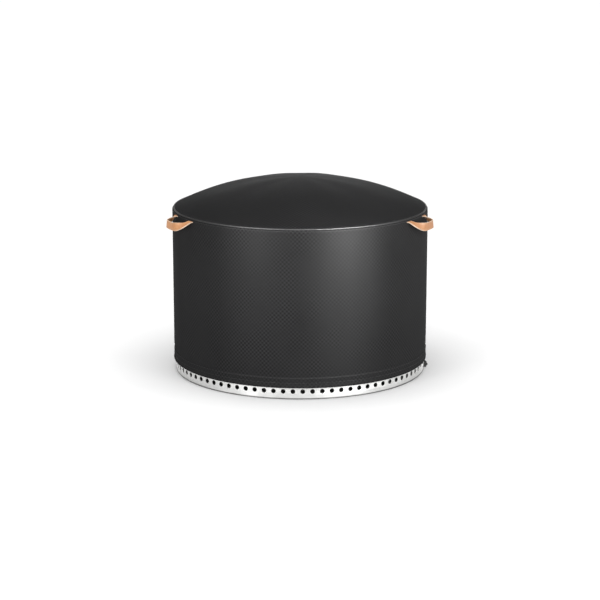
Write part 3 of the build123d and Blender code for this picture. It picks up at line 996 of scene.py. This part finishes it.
def make_stay_pockets():
    """Cloth sleeves round the outer ends of the stays, each sewn down along both sides."""
    stay_radius, clearance, sleeve = 0.0025, 0.00035, 0.0006
    under = FABRIC + 0.0003
    depth = under + 0.0008 + clearance + stay_radius
    middle = SHOULDER_START - 2.5
    length, half_width = 0.034, 0.0085
    spread = degrees(length / 2 / DOME_RADIUS)
    steps, bends = 14, 16
    pieces, rows_of_thread = [], []
    for k in range(STAYS):
        azimuth = FIRST_STAY + 360.0 * k / STAYS
        radial = polar(azimuth, 1.0)
        aside = Vector((-radial.y, radial.x, 0))
        rows = []
        for s in range(steps + 1):
            angle = middle + spread * (2 * s / steps - 1)
            down = -(radial * sin(radians(angle)) + Vector((0, 0, cos(radians(angle)))))
            radius, height = dome(angle, -under)
            top = radial * radius + Vector((0, 0, height))
            row = []
            for b in range(bends + 1):
                side = 2 * b / bends - 1
                hump = smooth((1 - abs(side)) / 0.55)
                hem_pinch = 1 - 0.06 * sin(6 * pi * s / steps)
                drop = 0.0003 + 2 * (depth - under) * hump * hem_pinch
                point = top + aside * side * half_width + down * drop
                row.append((point, (side * half_width, s * length / steps)))
            rows.append(row)
        pieces.append(lofted("sleeve", rows, TRIM_CLOTH))
        for edge in (1, bends - 1):
            run = [(row[edge][0], -row[edge][0].normalized()) for row in rows]
            rows_of_thread.append(stitches("sleeve_row", run, THREAD))
    pockets = join_up("stay_pocket_sleeves", pieces)
    thicken(pockets, sleeve, 0.0)
    thread = join_up("stay_pocket_stitches", rows_of_thread)
    on_cover(pockets, "stay_pockets")
    on_cover(thread)


make_inner_trims()
make_stay_pockets()


# --- Handles ------------------------------------------------------------------------------------
ROOT = 0.0095
STITCH_ROW = 0.0072
GROOVE = (0.0055, 0.0088)


def leg_powers(angle, front_first):
    """How steeply the strap falls from the seam and how soon it stands upright, on the leg at an angle."""
    return FRONT_LEG if (angle < 90) == front_first else REAR_LEG


def strap_centre(angle, front_first):
    """The strap's middle line in the handle's frame: X along the hinge, Y outwards, 0 to 180 degrees."""
    along, out = cos(radians(angle)), sin(radians(angle))
    along = copysign(abs(along) ** (2 / SQUARENESS), along)
    out = abs(out) ** (2 / SQUARENESS)
    fall_power, _ = leg_powers(angle, front_first)
    fall = tan(radians(HANDLE_DROOP)) * (1 - (1 - out) ** fall_power)
    return Vector((HANDLE_HALF_SPAN * along, HANDLE_REACH * out, -HANDLE_REACH * fall))


def eased(points):
    """The same points, each inner one drawn a little towards its neighbours."""
    inner = [(a + b * 2 + c) / 4 for a, b, c in zip(points, points[1:], points[2:])]
    return [points[0], *inner, points[-1]]


def strap_frames(front_first):
    """(centre, way along, way across) down the strap, with a straight root at each end."""
    steps, roots = 132, 8
    centres, across = [], []
    for k in range(roots):
        centres.append(Vector((HANDLE_HALF_SPAN, -ROOT * (1 - k / roots), 0)))
        across.append(Vector((-1, 0, 0)))
    for k in range(steps + 1):
        angle = 180.0 * k / steps
        before = strap_centre(max(angle - 1, 0), front_first)
        way = strap_centre(min(angle + 1, 180), front_first) - before
        inwards = Vector((-way.y, way.x, 0)).normalized()
        _, twist_power = leg_powers(angle, front_first)
        twist = sin(radians(angle)) ** twist_power * pi / 2
        centres.append(strap_centre(angle, front_first))
        across.append(inwards * cos(twist) + Vector((0, 0, 1)) * sin(twist))
    for k in range(roots):
        centres.append(Vector((-HANDLE_HALF_SPAN, -ROOT * (k + 1) / roots, 0)))
        across.append(Vector((1, 0, 0)))
    spaced = evenly(centres, 1.5 * MM)
    lengths = distances(centres)
    widths = []
    k = 0
    for i in range(len(spaced)):
        k, share = stretch(lengths, lengths[-1] * i / (len(spaced) - 1), k)
        widths.append(across[k].lerp(across[k + 1], min(share, 1.0)))
    for _ in range(3):
        spaced = eased(spaced)
        widths = eased(widths)
    frames = []
    for i, point in enumerate(spaced):
        before, after = spaced[max(i - 1, 0)], spaced[min(i + 1, len(spaced) - 1)]
        way = (after - before).normalized()
        width = widths[i] - way * widths[i].dot(way)
        frames.append((point, way, width.normalized()))
    return frames


def strap_outline():
    """The strap's section as (across, up, is it edge), with its long edges rounded over."""
    thick, round_over = STRAP / 2, STRAP * 0.42
    half_flat = STRAP_WIDTH / 2 - round_over
    flat, bends = 8, 6
    outline = []
    for side in (1, -1):
        for k in range(flat + 1):
            outline.append((side * half_flat * (2 * k / flat - 1), side * thick, False))
        for k in range(1, bends):
            turn = pi * k / bends
            across = half_flat + round_over * sin(turn)
            outline.append((side * across, side * thick * cos(turn), True))
    return outline


def make_handle(side, facing):
    turn = Matrix.Rotation(radians(facing - 90), 4, "Z")
    place = turn @ Matrix.Translation((0, HINGE_OUT, HANDLE_HEIGHT))
    outline = strap_outline()
    frames = strap_frames(side == "right")
    vertices, uv = [], []
    for (centre, way, width), along in zip(frames, distances([frame[0] for frame in frames])):
        up = way.cross(width).normalized()
        for across, lift, _ in outline:
            groove = smooth((abs(across) - GROOVE[0]) / 0.002) * smooth((GROOVE[1] - abs(across)) / 0.001)
            vertices.append(place @ (centre + width * across + up * lift * (1 - 0.10 * groove)))
            uv.append((across, along))
    count = len(outline)
    faces = skin_faces(len(frames), count, True) + cap_faces(len(frames), count)
    edges = [point[2] for point in outline]
    around = [int(edge or after) for edge, after in zip(edges, edges[1:] + edges[:1])]
    kinds = around * (len(frames) - 1) + [1, 1]
    materials = [LEATHER, LEATHER_EDGE, PALE_THREAD]
    strap = solid(f"{side}_handle_leather", vertices, faces, materials, uv, kinds)

    pieces = [strap]
    thread = (PALE_THREAD, 4.0 * MM, 1.0 * MM, 0.30 * MM, 0.22 * MM)
    for across in (-STITCH_ROW, STITCH_ROW):
        for face in (-1, 1):
            run = []
            for centre, way, width in frames[3:-3]:
                up = way.cross(width).normalized() * face
                point = centre + width * across + up * STRAP / 2 * 0.92
                run.append((place @ point, turn.to_3x3() @ up))
            pieces.append(stitches("strap_row", run, *thread))
    strap = join_up(f"{side}_handle_leather", pieces)
    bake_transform(strap)
    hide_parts(f"{side}_handle_strap", f"{side}_handle_tabs")


make_handle("right", -HANDLE_AZIMUTH)
make_handle("left", 180 + HANDLE_AZIMUTH)


# --- CAD pieces that keep their shape -----------------------------------------------------------
KEPT = {
    "drawcord": CORD_BRAID,
    "rim_hoop": SPRING,
    "cord_exit_grommet": PLASTIC,
    "cord_lock_body": PLASTIC,
    "cord_lock_plunger": PLASTIC,
    "dome_stays": ROD,
    "stay_hub": PLASTIC,
    "outer_wall": WEATHERED_FOOT_SHADED_STEEL,
    "base_plate": PIT_STEEL,
    "wall_brackets": PIT_STEEL,
    "inner_wall": HEATED,
    "flame_ring": HEATED,
    "grate_shelf": GRATE,
    "fire_grate": GRATE,
    "ash_pan": GRATE,
}


for name, material in KEPT.items():
    for slot in frame["nodes"][name].material_slots:
        slot.material = material


# --- Studio -------------------------------------------------------------------------------------
AIM_HEIGHT = 0.30
FRONT = -90.0
SKY_SEEN = 1.0
SKY_LIGHT = 0.12
SUN_POWER = 3.4
SUN_SPREAD = 75
SUN_TILT = 6
# Each soft box: name, azimuth from the front, distance, height, size, power, gloss only.
SOFT_BOXES = (
    ("front_right", 42, 5.0, 0.6, (1.5, 2.0), 120, False),
    ("front_left", -40, 5.0, 0.6, (1.5, 2.0), 110, False),
    ("streak_right", 32.5, 0.93, 0.55, (0.10, 0.42), 68, True),
    ("streak_left", -31.0, 0.937, 0.55, (0.26, 0.42), 24, True),
    ("behind", 180, 3.0, 1.3, (1.6, 1.2), 11, True),
)


def make_floor():
    size = 60.0
    vertices = [(-size, -size, 0), (size, -size, 0), (size, size, 0), (-size, size, 0)]
    n = Nodes("studio_floor")
    speckle = n.noise(n.place("Object"), 3.0, 3.0)
    material = n.finish(
        Base_Color=n.ramp(speckle, (0.3, (0.86, 0.86, 0.86)), (0.7, (0.88, 0.88, 0.88))),
        Roughness=0.7,
        Specular_IOR_Level=0.0,
    )
    floor = solid("studio_floor", vertices, [(0, 1, 2, 3)], material)


def soft_box(name, azimuth, distance, height, size, power, gloss_only):
    """A soft box turned to face the object. With gloss_only it shows only in reflections."""
    data = bpy.data.lights.new(name, "AREA")
    data.shape = "RECTANGLE"
    data.size, data.size_y = size
    data.energy = power
    light = bpy.data.objects.new(name, data)
    light.location = polar(FRONT + azimuth, distance, height)
    aim = Vector((0, 0, AIM_HEIGHT)) - light.location
    light.rotation_euler = aim.to_track_quat("-Z", "Y").to_euler()
    light.visible_camera = False
    light.visible_diffuse = not gloss_only
    bpy.context.collection.objects.link(light)


def make_lights():
    data = bpy.data.lights.new("overhead", "SUN")
    data.energy = SUN_POWER
    data.angle = radians(SUN_SPREAD)
    sky = bpy.data.objects.new("overhead", data)
    sky.rotation_euler = (radians(SUN_TILT), 0, 0)
    bpy.context.collection.objects.link(sky)
    for box in SOFT_BOXES:
        soft_box(*box)

    world = bpy.data.worlds.new("studio")
    world.use_nodes = True
    bpy.context.scene.world = world
    tree = world.node_tree
    seen = tree.nodes.new("ShaderNodeLightPath")
    strength = tree.nodes.new("ShaderNodeMapRange")
    strength.inputs["To Min"].default_value = SKY_LIGHT
    strength.inputs["To Max"].default_value = SKY_SEEN
    tree.links.new(seen.outputs["Is Camera Ray"], strength.inputs["Value"])
    tree.links.new(strength.outputs[0], tree.nodes["Background"].inputs["Strength"])
    tree.nodes["Background"].inputs["Color"].default_value = (1, 1, 1, 1)
    bpy.context.scene.view_settings.view_transform = "Standard"
    # The steel foot throws no glare on the floor, so that the shadow under it stays.
    bpy.context.scene.cycles.caustics_reflective = False


make_floor()
make_lights()
